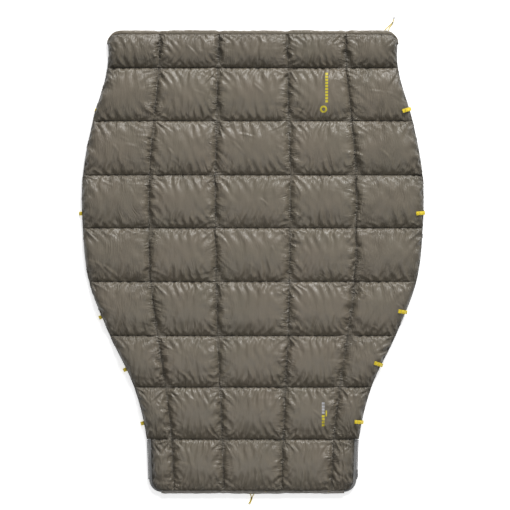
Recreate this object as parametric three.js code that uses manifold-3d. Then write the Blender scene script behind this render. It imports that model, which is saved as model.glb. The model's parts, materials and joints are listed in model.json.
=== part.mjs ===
// Camp quilt, laid open with its outer face up: nine stuffed rows sewn edge to edge, ten webbing loops
// along the sides, half a zip down each side of the foot row, and a drawcord in the hem at either end.
// Millimetres. X runs across the quilt, +Y towards the head and +Z up.
// The origin is on the ground under the middle of the quilt.
import * as THREE from "three";
import { mergeVertices } from "three/addons/utils/BufferGeometryUtils.js";
import Module from "manifold-3d";

const wasm = await Module();
wasm.setup();

// ---- driving dimensions ----
const rowDepths = [149, 215, 219, 214, 217, 219, 208, 211, 218]; // collar first, foot row last
// at the head edge, at each cross seam and at the foot edge:
const halfWidths = [588, 588, 647, 687, 688, 662, 578, 480, 429, 421];
const innerSeams = [135, 142, 146, 152, 151, 147, 142, 132, 124, 116]; // lengthwise seam beside the middle
const outerSeams = [379, 380, 402, 418, 420, 412, 384, 352, 327, 316]; // lengthwise seam nearer the side
const cornerRadius = 55;
const seamHeight = 12; // where shell and lining are sewn together, over the ground
const fabric = 0.8; // a sheet with its seam allowance
const layerGap = 0.4; // between the two sheets at a seam
const rowGap = 0.8; // between neighbouring rows, across the needle line
const loft = 25; // how far the shell swells over a seam
const grooveShare = 0.55; // loft left where a lengthwise seam holds the shell down
const sideRamp = 54; // from the quilt's side in to the full loft
const fillSlack = 0.128; // share of the loft left empty under the shell
const touch = 0.3; // clearance of pieces that touch

const headHem = 13;
const footBand = 17; // drawcord hem, and the zip beside it
const hemHeight = 6;
const cordDiameter = 3;
const cordClearance = 0.3;
const cordInset = 4; // from a hem's end to the cord tied off inside it
const neckExits = [534, 550]; // where the cord leaves the hem
const footExits = [-11, 5];
const knotRadius = 4.2;
const cordTip = { radius: 2.2, length: 8 };

const webbingWidth = 15;
const webbingLayer = 1;
const loopEye = 1.4; // slit between the two layers of a loop
const loopLength = 28; // how far a loop reaches in from its stitching
const loopLift = 7.6; // a loop's lightest rest over the shell
// row of each loop, then how far it is headwards of the row's last seam on the right and on the left:
const loopPlaces = [[2, 47, 43], [4, 60, 58], [6, 95, 76], [7, 89, 72], [8, 69, 65]];

const zipTape = 1.2;
const zipChain = { width: 4, height: 3.2 };
const zipStart = 4; // below the last cross seam
const slider = { length: 14, wall: 1.4, clearance: 0.5, lug: 4 };
const puller = { length: 24, width: 6, bar: 1 };
const stopLength = 5;
const boxLength = 8;

// ---- places worked out from them ----
const loopHalf = webbingLayer + loopEye / 2; // half the thickness of a loop
const loopRoot = loopHalf + 2 * touch; // its stitching and hinge line, out from the quilt's side
const quiltLength = rowDepths.reduce((sum, depth) => sum + depth, 0);
const seams = [quiltLength / 2];
for (const depth of rowDepths) seams.push(seams[seams.length - 1] - depth);
const lastRow = rowDepths.length;
const headEdge = seams[0];
const footEdge = seams[lastRow];

// ---- finishes ----
function finish(color, roughness, metalness = 0) {
  return new THREE.MeshStandardMaterial({ color, roughness, metalness });
}
const shellFinish = finish(0x6d675c, 0.4);
const liningFinish = finish(0x4c4a44, 0.5);
const fillFinish = finish(0xe9e6dc, 0.9);
const hemFinish = finish(0x5b5952, 0.45);
const yellowFinish = finish(0xd8b92c, 0.7);
const tapeFinish = finish(0x6f6f6c, 0.75);
const chainFinish = finish(0x3c3c3b, 0.5);
const metalFinish = finish(0x4a4a4b, 0.35, 0.8);

const quilt = new THREE.Group();

function add(name, geometry, material, parent = quilt) {
  const mesh = new THREE.Mesh(geometry, material);
  mesh.name = name;
  parent.add(mesh);
  return mesh;
}

// A smooth run through the values held at the seams; the foot row's sides are straight.
function alongQuilt(values, y) {
  let row = 1;
  while (row < lastRow && y < seams[row]) row += 1;
  const t = (seams[row - 1] - y) / rowDepths[row - 1];
  const [a, b] = [values[row - 1], values[row]];
  if (row === lastRow) return a + (b - a) * t;
  const before = row > 1 ? values[row - 2] : a;
  const after = values[row + 1];
  const [leave, arrive] = [(b - before) / 2, (after - a) / 2];
  return (
    a * (1 + 2 * t) * (1 - t) ** 2 + b * t * t * (3 - 2 * t) +
    leave * t * (1 - t) ** 2 - arrive * t * t * (1 - t)
  );
}

// How much a round corner takes off the half-width at a distance from the edge.
function cornerCut(radius, distance) {
  if (distance >= radius) return 0;
  return radius - Math.sqrt(radius ** 2 - (radius - distance) ** 2);
}

// Straight lines between [place, height] pairs.
function between(profile, place) {
  const next = Math.max(1, profile.findIndex(([p]) => p >= place));
  const [[p0, h0], [p1, h1]] = [profile[next - 1], profile[next]];
  return h0 + ((h1 - h0) * (place - p0)) / (p1 - p0);
}

// ---- a stuffed row ----
// One row's limits and half-width, with the corners of the collar and of the foot row taken off.
function rowFrame(row) {
  const head = row === 1;
  const foot = row === lastRow;
  const top = head ? headEdge - headHem - touch : seams[row - 1] - rowGap / 2;
  const bottom = foot ? footEdge + footBand + touch : seams[row] + rowGap / 2;
  const trim = foot ? footBand + touch : 0;
  const radius = head ? cornerRadius - headHem - touch : cornerRadius - footBand - touch;
  const halfWidth = (y) => {
    const cut = head ? cornerCut(radius, top - y) : foot ? cornerCut(radius, y - bottom) : 0;
    return alongQuilt(halfWidths, y) - trim - cut;
  };
  const round = [0.08, 0.3, 0.62, 1].map((share) => share * radius);
  const corner = head ? round.map((d) => top - d) : foot ? round.map((d) => bottom + d) : [];
  return { top, bottom, halfWidth, corner };
}

// Where a side cell reaches its full loft, from the quilt's side; a narrow cell keeps some flat top.
function rampOf(outer, side) {
  return Math.min(sideRamp, 0.75 * (side - outer));
}

const swell = [[0, 0], [0.14, 0.72], [0.5, 1], [0.86, 0.72], [1, 0]]; // loft from seam to seam
const cellSwell = [[0, grooveShare], [0.2, 1], [0.8, 1], [1, grooveShare]];
const dish = [[0, 0], [0.14, 1], [0.5, 1], [0.86, 1], [1, 0]]; // how far the lining drops from seam to seam
const dishAcross = [[0, 0], [0.06, 0.6], [0.12, 1], [2, 1]]; // the same from a side inwards

function shellTop(row, x, y) {
  const frame = rowFrame(row);
  const rise = between(swell, (frame.top - y) / (frame.top - frame.bottom));
  const [inner, outer] = [alongQuilt(innerSeams, y), alongQuilt(outerSeams, y)];
  const [side, out] = [frame.halfWidth(y), Math.abs(x)];
  let across = between(cellSwell, (out + inner) / (2 * inner));
  if (out > inner) across = between(cellSwell, (out - inner) / (outer - inner));
  if (out > outer) {
    const wide = side - outer;
    const rim = [[0, 0], [rampOf(outer, side), 1], [0.8 * wide, 1], [wide, grooveShare]];
    across = between(rim, Math.max(0, side - out));
  }
  return seamHeight + layerGap / 2 + fabric + loft * rise * across;
}

function liningDrop(row, x, y) {
  const frame = rowFrame(row);
  const along = between(dish, (frame.top - y) / (frame.top - frame.bottom));
  return along * between(dishAcross, Math.max(0, 1 - Math.abs(x) / frame.halfWidth(y)));
}

function liningBottom(row, x, y) {
  return (seamHeight - layerGap / 2 - fabric) * (1 - liningDrop(row, x, y));
}

// A closed slab over a grid of [x, y, low, high] points: lines that run towards +X and step towards -Y.
function slab(lines) {
  const across = lines[0].length;
  const points = lines.flat();
  const positions = points.flatMap(([x, y, , high]) => [x, y, high]);
  positions.push(...points.flatMap(([x, y, low]) => [x, y, low]));
  const faces = [];
  const quad = (a, b, c, d) => faces.push(a, b, c, a, c, d);
  const under = points.length;
  const lastLine = (lines.length - 1) * across;
  for (let j = 0; j + 1 < lines.length; j += 1) {
    const start = j * across;
    for (let i = 0; i + 1 < across; i += 1) {
      const a = start + i;
      quad(a, a + across, a + across + 1, a + 1);
      quad(under + a, under + a + 1, under + a + across + 1, under + a + across);
    }
    const end = start + across - 1;
    quad(start, under + start, under + start + across, start + across);
    quad(end, end + across, under + end + across, under + end);
  }
  for (let i = 0; i + 1 < across; i += 1) {
    quad(i, i + 1, under + i + 1, under + i);
    quad(lastLine + i, under + lastLine + i, under + lastLine + i + 1, lastLine + i + 1);
  }
  const geometry = new THREE.BufferGeometry();
  geometry.setAttribute("position", new THREE.Float32BufferAttribute(positions, 3));
  geometry.setIndex(faces);
  return geometry;
}

// Grid lines of a row at shares of its depth; the corner adds its own.
function rowLines(frame, shares, inset) {
  const depth = frame.top - frame.bottom;
  const plain = shares.map((share) => frame.top - share * depth);
  const [high, low] = [frame.top - inset * depth, frame.bottom + inset * depth];
  const added = frame.corner.filter((y) => y < high - 1 && y > low + 1);
  return [...new Set([...plain, ...added])].sort((a, b) => b - a);
}

// Half-width of the row's rim, which runs straight from one grid line to the next, and its lean there.
function rimAt(row, y) {
  const frame = rowFrame(row);
  const lines = rowLines(frame, swell.map(([share]) => share), 0);
  const next = lines.findIndex((line) => line < y);
  const [above, below] = [lines[next - 1], lines[next]];
  const lean = (frame.halfWidth(above) - frame.halfWidth(below)) / (above - below);
  return { halfWidth: frame.halfWidth(below) + lean * (y - below), lean };
}

// Places across the row at the lengthwise seams and at two places in each cell.
function cellPlaces(frame, y, edgeShare) {
  const [inner, outer, side] = [alongQuilt(innerSeams, y), alongQuilt(outerSeams, y), frame.halfWidth(y)];
  const marks = [0.2, 0.8];
  const ramp = rampOf(outer, side);
  const half = [
    ...marks.slice(1).map((m) => inner * (2 * m - 1)), inner,
    ...marks.map((m) => inner + m * (outer - inner)), outer,
    outer + 0.2 * (side - outer), side - ramp, side - edgeShare * ramp,
  ];
  return [...half.map((x) => -x).reverse(), ...half];
}

function outerShell(row) {
  const frame = rowFrame(row);
  return slab(rowLines(frame, swell.map(([share]) => share), 0).map((y) =>
    cellPlaces(frame, y, 0).map((x) => {
      const top = shellTop(row, x, y);
      return [x, y, top - fabric, top];
    })));
}

function fill(row) {
  const frame = rowFrame(row);
  const inset = 0.1; // of the row's depth, bare at each seam
  const shares = [inset, ...swell.slice(1, -1).map(([share]) => share), 1 - inset];
  return slab(rowLines(frame, shares, inset).map((y) =>
    cellPlaces(frame, y, 0.4).map((x) => {
      const lift = 1 - liningDrop(row, x, y);
      const low = liningBottom(row, x, y) + fabric + touch + 1.5 * lift;
      return [x, y, low, shellTop(row, x, y) - fabric - fillSlack * loft];
    })));
}

function lining(row) {
  const frame = rowFrame(row);
  const steps = dishAcross.slice(0, 3).map(([share]) => 1 - share);
  return slab(rowLines(frame, dish.map(([share]) => share), 0).map((y) =>
    [...steps.map((share) => -share), ...[...steps].reverse()].map((share) => {
      const x = share * frame.halfWidth(y);
      const low = liningBottom(row, x, y);
      return [x, y, low, low + fabric];
    })));
}

for (let row = 1; row <= lastRow; row += 1) {
  add(`outer_shell_${row}`, outerShell(row), shellFinish);
  add(`insulation_${row}`, fill(row), fillFinish);
  add(`lining_${row}`, lining(row), liningFinish);
}

// ---- solids cut and joined ----
function solidOf(geometry, matrix) {
  const bare = new THREE.BufferGeometry();
  const flat = geometry.index ? geometry.toNonIndexed() : geometry;
  bare.setAttribute("position", flat.getAttribute("position").clone());
  if (matrix) bare.applyMatrix4(matrix);
  const merged = mergeVertices(bare, 1e-3);
  return new wasm.Manifold(new wasm.Mesh({
    numProp: 3,
    vertProperties: new Float32Array(merged.attributes.position.array),
    triVerts: new Uint32Array(merged.index.array),
  }));
}

function geometryOf(solid) {
  const { vertProperties, triVerts } = solid.getMesh();
  const geometry = new THREE.BufferGeometry();
  geometry.setAttribute("position", new THREE.Float32BufferAttribute(vertProperties, 3));
  geometry.setIndex([...triVerts]);
  return geometry;
}

function box(xs, ys, zs) {
  const [dx, dy, dz] = [xs, ys, zs].map(([low, high]) => high - low);
  const [cx, cy, cz] = [xs, ys, zs].map(([low, high]) => (low + high) / 2);
  return new THREE.BoxGeometry(dx, dy, dz).translate(cx, cy, cz);
}

// A flat shape, its rim counter-clockwise so that an extrusion of it faces outwards round its holes too.
function outline(points, holes = []) {
  const rim = points.map(([x, y]) => new THREE.Vector2(x, y));
  const shape = new THREE.Shape(THREE.ShapeUtils.isClockWise(rim) ? rim.reverse() : rim);
  for (const hole of holes) shape.holes.push(new THREE.Path(hole.map(([x, y]) => new THREE.Vector2(x, y))));
  return shape;
}

// A cord of eight sides through the points, with a step every 2.5 diameters unless told otherwise.
function cord(points, steps) {
  const path = new THREE.CatmullRomCurve3(points.map((p) => new THREE.Vector3(...p)), false, "centripetal");
  const ring = Array.from({ length: 8 }, (_, i) => {
    const angle = (Math.PI * (i + 0.5)) / 4;
    return [(cordDiameter / 2) * Math.cos(angle), (cordDiameter / 2) * Math.sin(angle)];
  });
  const fine = Math.max(2, Math.round(path.getLength() / (2.5 * cordDiameter)));
  return new THREE.ExtrudeGeometry(outline(ring), { steps: steps ?? fine, extrudePath: path });
}

// ---- hems and the cord that runs in each ----
// A flat sleeve along an end edge, its bore beside the edge and two eyelets where the cord comes out.
function hem(width, edge, outwards, exits) {
  const halfLength = alongQuilt(halfWidths, edge) - cornerRadius;
  const bore = cordDiameter / 2 + cordClearance;
  const cordLine = width - bore - fabric - 1;
  const [w, h] = [width, hemHeight / 2];
  const sleeve = outline(
    [[0, -1], [2, -h], [w - 1.5, -h], [w, -h + 1.5], [w, h - 1.5], [w - 1.5, h], [2, h], [0, 1]],
    [[[cordLine - bore, -bore], [cordLine + bore, -bore], [cordLine + bore, bore], [cordLine - bore, bore]]],
  );
  const geometry = new THREE.ExtrudeGeometry(sleeve, { depth: 2 * halfLength, bevelEnabled: false });
  const across = new THREE.Vector3(0, outwards, 0);
  const up = new THREE.Vector3(0, 0, 1);
  const place = new THREE.Matrix4()
    .makeBasis(across, up, new THREE.Vector3().crossVectors(across, up))
    .setPosition(-outwards * halfLength, edge - outwards * width, seamHeight);
  let solid = solidOf(geometry, place);
  const past = 1; // an eyelet is cut this far past the edge
  const eyeletLength = width - cordLine + past;
  const eyeletY = edge - outwards * (eyeletLength / 2 - past);
  for (const x of exits) {
    const eyelet = new THREE.CylinderGeometry(bore, bore, eyeletLength, 12).translate(x, eyeletY, seamHeight);
    solid = solid.subtract(solidOf(eyelet));
  }
  return { geometry: geometryOf(solid), halfLength, cordY: edge - outwards * (width - cordLine) };
}

function addHem(end, width, edge, outwards, exits) {
  const made = hem(width, edge, outwards, exits);
  add(`${end}_hem`, made.geometry, hemFinish);
  const reach = made.halfLength - cordInset;
  add(`${end}_cord_in_hem`, cord([-reach, reach].map((x) => [x, made.cordY, seamHeight]), 1), yellowFinish);
}

addHem("neck", headHem, headEdge, 1, neckExits);
addHem("foot", footBand, footEdge, -1, footExits);

// ---- the free ends of the drawcords ----
const neckLegs = {
  a: [
    [534, 935.4, 12], [536, 940, 11.4], [541, 946, 8], [548, 952.5, 3.6], [554, 958, 2], [562.2, 966.2, 1.8],
  ],
  b: [
    [550, 935.4, 12], [550.6, 940, 11.4], [552.4, 946, 8], [556, 952, 3.6], [560, 957, 2], [565, 964, 1.8],
  ],
};
const neckKnot = [566.4, 968.6];
const neckTail = [[567, 970, 1.8], [569.6, 977, 1.8], [571, 984, 1.8]];
const footLegs = {
  a: [[-11, -935.4, 12], [-10.4, -939, 11], [-8.8, -943, 7], [-7.2, -947.5, 3.4], [-6.4, -951.2, 2]],
  b: [[5, -935.4, 12], [4.4, -939, 11], [2.4, -943, 7], [0, -947.5, 3.4], [-2, -951.6, 2]],
};
const footKnot = [-4.6, -955.6];
const footTail = [[-5, -957, 1.8], [-8, -966, 1.8], [-10.4, -973, 1.8], [-14, -980, 1.8]];

// A ball, pressed flat a little by the ground it lies on, with its tail.
function knot([x, y], tail) {
  const ball = new THREE.SphereGeometry(knotRadius, 10, 7);
  const flatness = 0.8;
  const stand = new THREE.Matrix4().makeTranslation(x, y, knotRadius * flatness + 0.1);
  stand.scale(new THREE.Vector3(1, 1, flatness));
  return geometryOf(solidOf(ball, stand).add(solidOf(cord(tail))));
}

for (const leg of ["a", "b"]) {
  add(`neck_cord_${leg}`, cord(neckLegs[leg]), yellowFinish);
  add(`foot_cord_${leg}`, cord(footLegs[leg]), yellowFinish);
}
add("neck_cord_knot", knot(neckKnot, neckTail), yellowFinish);
add("foot_cord_knot", knot(footKnot, footTail), yellowFinish);
const tipY = neckTail[2][1] + touch + cordTip.length / 2;
const tip = new THREE.CylinderGeometry(cordTip.radius, cordTip.radius, cordTip.length, 10);
add("neck_cord_tip", tip.translate(neckTail[2][0] + 1, tipY, cordTip.radius + 0.1), chainFinish);

// ---- webbing loops ----
// Its path from the stitching, [out, up]: over the side and up the swelling shell, clear of it.
const loopOver = [[0, 0], [0.6, 3.2], [-0.4, 7.4], ...[0.5, 1].map((share) => {
  const inwards = share * loopLength;
  return [-inwards, layerGap / 2 + fabric + (loft * (inwards - loopRoot)) / sideRamp + loopLift];
})];
// The same under the side, [out, down], level just over the ground for the rest of its length.
const loopLow = seamHeight - loopHalf - 0.1;
const loopUnder = [
  [0, 0], [0.8, 0.3 * loopLow], [0.4, 0.72 * loopLow], [-6, loopLow], [-loopLength, loopLow],
];

// The path seen along the edge, doubled into two layers with a slit between them.
function loopGeometry(path) {
  const points = path.map(([out, up]) => new THREE.Vector2(out, up));
  const layer = (offset, list) => list.map((p, i) => {
    const ahead = list[Math.min(i + 1, list.length - 1)].clone().sub(list[Math.max(i - 1, 0)]).normalize();
    return [p.x - ahead.y * offset, p.y + ahead.x * offset];
  });
  const ring = (offset, list) => [...layer(offset, list), ...layer(-offset, list).reverse()];
  const section = outline(
    ring(loopHalf, points),
    [ring(loopEye / 2, points.slice(1, -1))],
  );
  return new THREE.ExtrudeGeometry(section, { depth: webbingWidth, bevelEnabled: false })
    .translate(0, 0, -webbingWidth / 2);
}

function addLoop(name, row, side, up, y, path) {
  const { halfWidth, lean } = rimAt(row, y);
  const out = new THREE.Vector3(side, -lean, 0).normalize();
  const rise = new THREE.Vector3(0, 0, up);
  const loop = add(name, loopGeometry(path), yellowFinish);
  loop.matrixAutoUpdate = false;
  loop.matrix
    .makeBasis(out, rise, new THREE.Vector3().crossVectors(out, rise))
    .setPosition(side * halfWidth + out.x * loopRoot, y + out.y * loopRoot, seamHeight);
}

for (const [row, right, left] of loopPlaces) {
  addLoop(`webbing_loop_right_${row}`, row, 1, 1, seams[row] + right, loopOver);
  addLoop(`webbing_loop_left_${row}`, row, -1, -1, seams[row] + left, loopUnder);
}

// ---- the two halves of the foot zip ----
const zipTop = seams[lastRow - 1] - zipStart;
const cornerY = footEdge + cornerRadius;

// Points down the right side at a distance inside the edge, and round the corner if wanted.
function sideLine(inside, fromY, toY, withCorner) {
  const points = [fromY, toY].map((y) => [alongQuilt(halfWidths, y) - inside, y]);
  if (withCorner) {
    const centre = alongQuilt(halfWidths, cornerY) - cornerRadius;
    for (const degrees of [-15, -30, -45, -60, -75, -90]) {
      const angle = THREE.MathUtils.degToRad(degrees);
      const radius = cornerRadius - inside;
      points.push([centre + radius * Math.cos(angle), cornerY + radius * Math.sin(angle)]);
    }
  }
  return points;
}

function strip([near, far], [fromY, toY], height, withCorner = false) {
  const [outer, inner] = [near, far].map((inside) => sideLine(inside, fromY, toY, withCorner));
  const shape = outline([...outer, ...inner.reverse()]);
  return new THREE.ExtrudeGeometry(shape, { depth: height, bevelEnabled: false })
    .translate(0, 0, seamHeight - height / 2);
}

function mirrored(geometry) {
  const flipped = geometry.index ? geometry.toNonIndexed() : geometry.clone();
  flipped.scale(-1, 1, 1);
  const position = flipped.getAttribute("position");
  for (let i = 0; i < position.count; i += 3) {
    const [a, c] = [i, i + 2].map((k) => new THREE.Vector3().fromBufferAttribute(position, k));
    position.setXYZ(i, c.x, c.y, c.z);
    position.setXYZ(i + 2, a.x, a.y, a.z);
  }
  return flipped;
}

const tapeBand = [zipChain.width + touch, footBand];
const chainBand = [0, zipChain.width];
const chainEnd = cornerY + boxLength + touch;
const stopEnd = zipTop - stopLength;
for (const [side, turn] of [["right", (g) => g], ["left", mirrored]]) {
  add(`zip_tape_${side}`, turn(strip(tapeBand, [zipTop, cornerY], zipTape, true)), tapeFinish);
  add(`zip_chain_${side}`, turn(strip(chainBand, [stopEnd - touch, chainEnd], zipChain.height)), chainFinish);
  add(`zip_stop_${side}`, turn(strip(chainBand, [zipTop, stopEnd], zipChain.height + 0.8)), metalFinish);
}
add("zip_box", strip(chainBand, [cornerY + boxLength, cornerY], zipChain.height + 2.4), metalFinish);
add("zip_pin", mirrored(strip(chainBand, [cornerY + boxLength, cornerY], zipChain.height)), metalFinish);

// ---- slider and puller, on the right half just above the box ----
const sliderY = chainEnd + slider.length / 2 + touch;
const edgeLean = (halfWidths[lastRow - 1] - halfWidths[lastRow]) / rowDepths[lastRow - 1];
const sliderGroup = new THREE.Group();
sliderGroup.position.set(alongQuilt(halfWidths, sliderY) - zipChain.width / 2, sliderY, seamHeight);
sliderGroup.rotation.z = -Math.atan(edgeLean);
quilt.add(sliderGroup);

const half = { x: zipChain.width / 2 + slider.clearance, z: zipChain.height / 2 + slider.clearance };
const sliderTop = half.z + slider.wall;
const sliderSide = half.x + slider.wall;
const lipGap = zipTape / 2 + slider.clearance;
function sliderBody() {
  const run = slider.length / 2;
  let body = solidOf(box([-sliderSide, sliderSide], [-run, run], [-sliderTop, sliderTop]));
  body = body.subtract(solidOf(box([-half.x, half.x], [-run - 1, run + 1], [-half.z, half.z])));
  body = body.subtract(solidOf(box([-sliderSide - 1, 0], [-run - 1, run + 1], [-lipGap, lipGap])));
  const legRun = slider.lug + puller.bar / 2;
  const bridge = solidOf(box([-0.6, 0.6], [-legRun, legRun], [sliderTop - 0.5, sliderTop + 3.6]));
  const under = solidOf(box([-1, 1], [1.2 - legRun, legRun - 1.2], [sliderTop, sliderTop + 2.6]));
  return geometryOf(body.add(bridge.subtract(under)));
}
add("zip_slider", sliderBody(), metalFinish, sliderGroup);

// A tab with a square eye; the eye's end bar lies under the slider's bridge and is the hinge.
function pullerBody() {
  const eye = slider.lug + puller.bar * 2;
  const [w, b] = [puller.width / 2, puller.bar / 2];
  const tab = solidOf(box([-w, w], [-b, puller.length], [-b, b]));
  const hole = solidOf(box([-w + puller.bar, w - puller.bar], [b, eye], [-1, 1]));
  const turned = new THREE.Matrix4().makeTranslation(0, 0, sliderTop + 1.3);
  return geometryOf(tab.subtract(hole).transform(turned.elements));
}
add("zip_puller", pullerBody(), metalFinish, sliderGroup);

export default quilt;
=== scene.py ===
import json

import bpy
import numpy as np
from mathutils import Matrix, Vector


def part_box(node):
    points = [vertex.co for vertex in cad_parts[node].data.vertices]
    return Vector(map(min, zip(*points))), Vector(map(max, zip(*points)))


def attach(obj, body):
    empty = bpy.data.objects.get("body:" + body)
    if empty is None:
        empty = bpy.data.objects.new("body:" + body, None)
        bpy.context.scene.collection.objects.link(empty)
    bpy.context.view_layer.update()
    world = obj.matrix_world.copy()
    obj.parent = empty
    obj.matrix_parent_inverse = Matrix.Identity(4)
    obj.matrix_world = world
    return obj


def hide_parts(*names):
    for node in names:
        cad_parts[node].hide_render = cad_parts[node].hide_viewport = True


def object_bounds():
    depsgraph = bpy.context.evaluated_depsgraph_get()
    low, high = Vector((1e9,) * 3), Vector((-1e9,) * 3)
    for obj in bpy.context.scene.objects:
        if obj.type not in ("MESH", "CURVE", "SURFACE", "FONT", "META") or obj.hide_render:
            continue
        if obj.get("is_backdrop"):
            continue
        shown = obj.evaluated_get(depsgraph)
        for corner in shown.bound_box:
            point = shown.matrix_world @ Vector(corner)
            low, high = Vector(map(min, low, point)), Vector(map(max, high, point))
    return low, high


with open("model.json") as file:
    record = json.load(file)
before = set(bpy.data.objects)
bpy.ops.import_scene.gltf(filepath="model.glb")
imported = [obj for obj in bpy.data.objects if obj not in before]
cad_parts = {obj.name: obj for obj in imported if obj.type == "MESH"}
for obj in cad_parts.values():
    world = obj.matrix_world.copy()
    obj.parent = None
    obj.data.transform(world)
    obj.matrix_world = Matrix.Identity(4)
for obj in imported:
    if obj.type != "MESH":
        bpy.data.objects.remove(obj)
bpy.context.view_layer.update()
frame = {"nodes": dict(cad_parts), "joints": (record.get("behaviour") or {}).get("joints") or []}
jointAt = {joint["name"]: joint for joint in frame["joints"]}

# ---- the cut of the quilt, in metres ----
cut = {
    "halfWidths": [0.588, 0.588, 0.647, 0.687, 0.688, 0.662, 0.578, 0.480, 0.429, 0.421],  # at each seam
    "innerSeams": [0.135, 0.142, 0.146, 0.152, 0.151, 0.147, 0.142, 0.132, 0.124, 0.116],
    "outerSeams": [0.379, 0.380, 0.402, 0.418, 0.420, 0.412, 0.384, 0.352, 0.327, 0.316],
    "cornerRadius": 0.055,
    "seamHeight": 0.012,
    "headHem": 0.013,
    "footBand": 0.017,
    "footHem": 0.010,
}
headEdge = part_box("neck_hem")[1].y
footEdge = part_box("foot_hem")[0].y
rows = range(1, 10)
lastRow = 9
foldY = [jointAt[f"fold_{row}_{row + 1}"]["pos_m"][1] for row in rows[:-1]]
seamY = np.array([headEdge, *foldY, footEdge])


def alongQuilt(values, y):
    # A cubic through the values at the seams, its slope at a seam taken from the seams beside it;
    # straight in the foot row.
    values, y = np.array(values), np.asarray(y, float)
    row = np.clip(np.searchsorted(-seamY, -y, side="right"), 1, lastRow)
    t = (seamY[row - 1] - y) / (seamY[row - 1] - seamY[row])
    a, b = values[row - 1], values[row]
    leave = (b - values[np.maximum(row - 2, 0)]) / 2
    arrive = (values[np.minimum(row + 1, lastRow)] - a) / 2
    smooth = a * (1 + 2 * t) * (1 - t) ** 2 + b * t * t * (3 - 2 * t)
    smooth += leave * t * (1 - t) ** 2 - arrive * t * t * (1 - t)
    return np.where(row == lastRow, a + (b - a) * t, smooth)


def cornerCut(radius, distance):
    # What a round corner takes off the half-width: radius less the height of its circle there.
    inside = np.clip(radius - distance, 0, radius)
    return radius - np.sqrt(radius**2 - inside**2)


def noise(x, y, seed):
    # Smooth noise of about -1 to 1: random slopes at whole numbers, blended by 6t^5 - 15t^4 + 10t^3.
    angles = np.random.default_rng(seed).uniform(0, 2 * np.pi, (256, 256))
    x, y = np.broadcast_arrays(x, y)
    ix, iy = np.floor(x).astype(int), np.floor(y).astype(int)
    fx, fy = x - ix, y - iy
    ux, uy = (f**3 * (f * (f * 6 - 15) + 10) for f in (fx, fy))
    total = 0
    for dx, wx in ((0, 1 - ux), (1, ux)):
        for dy, wy in ((0, 1 - uy), (1, uy)):
            angle = angles[(ix + dx) % 256, (iy + dy) % 256]
            total = total + wx * wy * (np.cos(angle) * (fx - dx) + np.sin(angle) * (fy - dy))
    return total * 1.5


def smoothStep(low, high, value):
    t = np.clip((value - low) / (high - low), 0, 1)
    return t * t * (3 - 2 * t)


skyward = np.array([0, 0, 1.0])


def unit(vectors):
    return vectors / np.linalg.norm(vectors, axis=1, keepdims=True)


def runOf(points):
    # Metres along a line of points, at each of them.
    return np.concatenate([[0], np.cumsum(np.linalg.norm(np.diff(points, axis=0), axis=1))])


def placesAt(at, points):
    # Places some metres along a line of points.
    run = runOf(points)
    return np.stack([np.interp(at, run, points[:, k]) for k in range(3)], axis=1)


# ---- meshes from grids ----
def gridQuads(lines, across, start=0):
    # Quads of a grid of points stored line after line, turned to face up where lines run +X and step -Y.
    a = (np.arange(lines - 1)[:, None] * across + np.arange(across - 1)[None, :]).ravel() + start
    return np.stack([a, a + across, a + across + 1, a + 1], axis=1)


def meshFrom(name, points, faces, uv=None):
    mesh = bpy.data.meshes.new(name)
    mesh.from_pydata(np.asarray(points, float).tolist(), [], faces)
    if uv is not None:
        corner = np.zeros(len(mesh.loops), np.int32)
        mesh.loops.foreach_get("vertex_index", corner)
        mesh.uv_layers.new(name="UVMap").data.foreach_set("uv", np.asarray(uv, np.float32)[corner].ravel())
    mesh.shade_smooth()
    made = bpy.data.objects.new(name, mesh)
    bpy.context.scene.collection.objects.link(made)
    return made


def sweep(name, path, across, ring):
    # A ring of (across, up) offsets carried along a path, up being across x the path's direction;
    # UV is metres along the path and metres round the ring. The two ends are closed by fans.
    path, ring = np.asarray(path, float), np.asarray(ring, float)
    across = np.broadcast_to(np.asarray(across, float), path.shape)
    ahead = unit(np.gradient(path, axis=0))
    across = unit(across - ahead * (across * ahead).sum(1, keepdims=True))
    up = np.cross(across, ahead)
    around = across[:, None] * ring[None, :, :1] + up[:, None] * ring[None, :, 1:]
    body = path[:, None] + around
    steps, sides = len(path), len(ring)
    points = np.concatenate([body.reshape(-1, 3), path[:1], path[-1:]])
    i, k = np.meshgrid(np.arange(steps - 1), np.arange(sides), indexing="ij")
    a, b = (i * sides + k).ravel(), (i * sides + (k + 1) % sides).ravel()
    quads = np.stack([a, b, b + sides, a + sides], axis=1).tolist()
    k = np.arange(sides)
    first = np.stack([(k + 1) % sides, k, np.full(sides, steps * sides)], axis=1)
    end = (steps - 1) * sides
    last = np.stack([end + k, end + (k + 1) % sides, np.full(sides, steps * sides + 1)], axis=1)
    run = runOf(path)
    uv = np.stack(np.meshgrid(run, runOf(ring), indexing="ij"), axis=-1).reshape(-1, 2)
    uv = np.concatenate([uv, [[run[0], 0], [run[-1], 0]]])
    made = meshFrom(name, points, quads + first.tolist() + last.tolist(), uv)
    turnOut(made)
    return made


def turnOut(piece):
    # Turns the whole of a closed mesh over if its signed volume is negative.
    mesh = piece.data
    mesh.calc_loop_triangles()
    triangles = np.zeros(len(mesh.loop_triangles) * 3, np.int32)
    mesh.loop_triangles.foreach_get("vertices", triangles)
    co = np.zeros(len(mesh.vertices) * 3)
    mesh.vertices.foreach_get("co", co)
    a, b, c = co.reshape(-1, 3)[triangles.reshape(-1, 3)].transpose(1, 0, 2)
    if (a * np.cross(b, c)).sum() < 0:
        mesh.flip_normals()


def runAlong(x, y, axis):
    # Metres from the first places of a grid, adding up its steps along one axis.
    steps = [np.diff(k, axis=axis, prepend=k.take([0], axis)) for k in (x, y)]
    return np.cumsum(np.hypot(*steps), axis=axis)


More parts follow.
